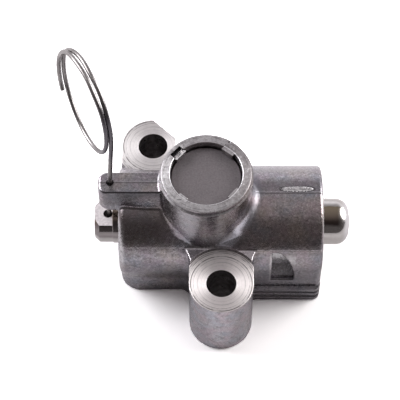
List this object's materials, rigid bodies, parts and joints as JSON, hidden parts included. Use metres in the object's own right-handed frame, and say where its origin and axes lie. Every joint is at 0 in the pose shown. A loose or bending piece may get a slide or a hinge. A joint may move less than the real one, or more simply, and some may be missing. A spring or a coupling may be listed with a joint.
{
  "type": "balance shaft chain tensioner",
  "caption": "Compact cast hydraulic chain tensioner with a spring-loaded round-nosed plunger held back by a wire pull pin.",
  "frame": {"origin": "on the flat mounting face of the casting, under the axis of the round reservoir boss", "axes": "+X along the barrel, the way the plunger pushes; +Y towards the rear bolt ear; +Z square to the mounting face, up the reservoir boss"},
  "size_m": [0.0686, 0.0524, 0.0621],
  "materials": {
    "cast_body": "satin die-cast skin with machined faces",
    "polished_steel": "ground and polished",
    "spring_steel": "drawn wire, satin",
    "coated_cap": "matte dark conversion coating",
    "seal_rubber": "matte",
    "ring_polymer": "matte",
    "bearing_bronze": "machined"
  },
  "bodies": {
    "body": {"housing": "cast_body", "spring_seat": "spring_steel", "rear_rod_seal": "seal_rubber", "front_guide_bush": "bearing_bronze", "bush_o_ring": "seal_rubber", "front_wiper_seal": "seal_rubber", "retaining_washer": "spring_steel", "snap_ring": "spring_steel", "valve_cage": "spring_steel", "valve_o_ring": "seal_rubber", "valve_seat": "spring_steel", "inlet_screen": "spring_steel", "reservoir_cap": "coated_cap", "cap_seal": "seal_rubber", "main_spring": "spring_steel", "valve_spring": "spring_steel"},
    "plunger": {"plunger": "polished_steel", "piston_ring": "ring_polymer"},
    "pull_pin": {"lock_pin": "spring_steel"},
    "check_ball": {"valve_ball": "polished_steel"}
  },
  "joints": [
    {"name": "plunger_slide", "type": "slide", "parent": "body", "child": "plunger", "axis": [1, 0, 0], "range_m": [0, 0.008], "deforming": ["main_spring"]},
    {"name": "pin_pull", "type": "slide", "parent": "body", "child": "pull_pin", "axis": [0.0593, 0, 0.9982], "range_m": [0, 0.041]},
    {"name": "ball_lift", "type": "slide", "parent": "body", "child": "check_ball", "axis": [0, 0, -1], "range_m": [0, 0.0005], "deforming": ["valve_spring"]}
  ],
  "couplings": [
    {"joint": "pin_pull", "follows": "plunger_slide", "ratio": 5}
  ]
}
